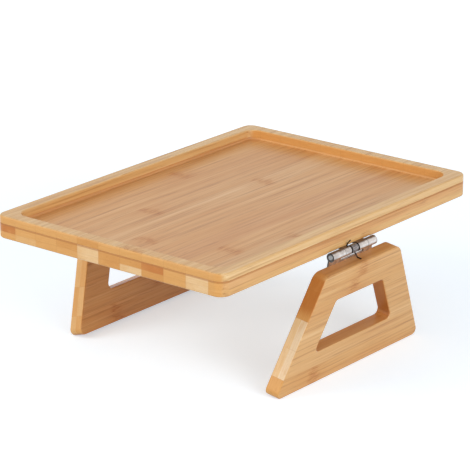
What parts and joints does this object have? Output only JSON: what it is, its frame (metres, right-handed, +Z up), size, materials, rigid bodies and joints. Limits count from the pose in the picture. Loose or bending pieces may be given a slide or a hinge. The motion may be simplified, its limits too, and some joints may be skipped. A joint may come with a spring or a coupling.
{
  "type": "sofa arm tray",
  "caption": "Bamboo tray for a sofa arm: a shallow rimmed rectangular tray with splayed trapezoid legs on spring hinges that close to grip the arm and fold flat under it.",
  "frame": {"origin": "centre of the tray's flat underside", "axes": "+X across the sofa arm towards the right leg, +Y along the arm and the tray's length, +Z up"},
  "size_m": [0.2741, 0.35, 0.1321],
  "materials": {
    "bamboo_top_ply": "satin lacquered bamboo, light rim",
    "bamboo_core_ply": "satin lacquered bamboo, tray floor",
    "bamboo_base_ply": "satin lacquered bamboo, underside",
    "bamboo_leg_outer": "satin lacquered bamboo",
    "bamboo_leg_inner": "satin lacquered bamboo",
    "nickel_hinge": "satin nickel plate",
    "pin_steel": "plain steel",
    "spring_wire": "dark oiled spring wire",
    "screw_steel": "bright zinc plate"
  },
  "bodies": {
    "tray": {"tray_top_ply": "bamboo_top_ply", "tray_core_ply": "bamboo_core_ply", "tray_base_ply": "bamboo_base_ply", "right_tray_leaf": "nickel_hinge", "right_hinge_pin": "pin_steel", "right_hinge_spring": "spring_wire", "right_tray_leaf_screws": "screw_steel", "left_tray_leaf": "nickel_hinge", "left_hinge_pin": "pin_steel", "left_hinge_spring": "spring_wire", "left_tray_leaf_screws": "screw_steel"},
    "right_leg": {"right_leg_outer_ply": "bamboo_leg_outer", "right_leg_inner_ply": "bamboo_leg_inner", "right_leg_leaf": "nickel_hinge", "right_leg_leaf_screws": "screw_steel"},
    "left_leg": {"left_leg_outer_ply": "bamboo_leg_outer", "left_leg_inner_ply": "bamboo_leg_inner", "left_leg_leaf": "nickel_hinge", "left_leg_leaf_screws": "screw_steel"}
  },
  "joints": [
    {"name": "right_leg_fold", "type": "hinge", "parent": "tray", "child": "right_leg", "pos_m": [0.1277, -0.0036, -0.0025], "axis": [0, 1, 0], "range_deg": [-98.5, 81.5], "stiffness_Nm_per_rad": 0.13, "deforming": ["right_hinge_spring"]},
    {"name": "left_leg_fold", "type": "hinge", "parent": "tray", "child": "left_leg", "pos_m": [-0.1277, 0.0036, -0.0025], "axis": [0, -1, 0], "range_deg": [-106.5, 73.5], "stiffness_Nm_per_rad": 0.13, "deforming": ["left_hinge_spring"]}
  ]
}
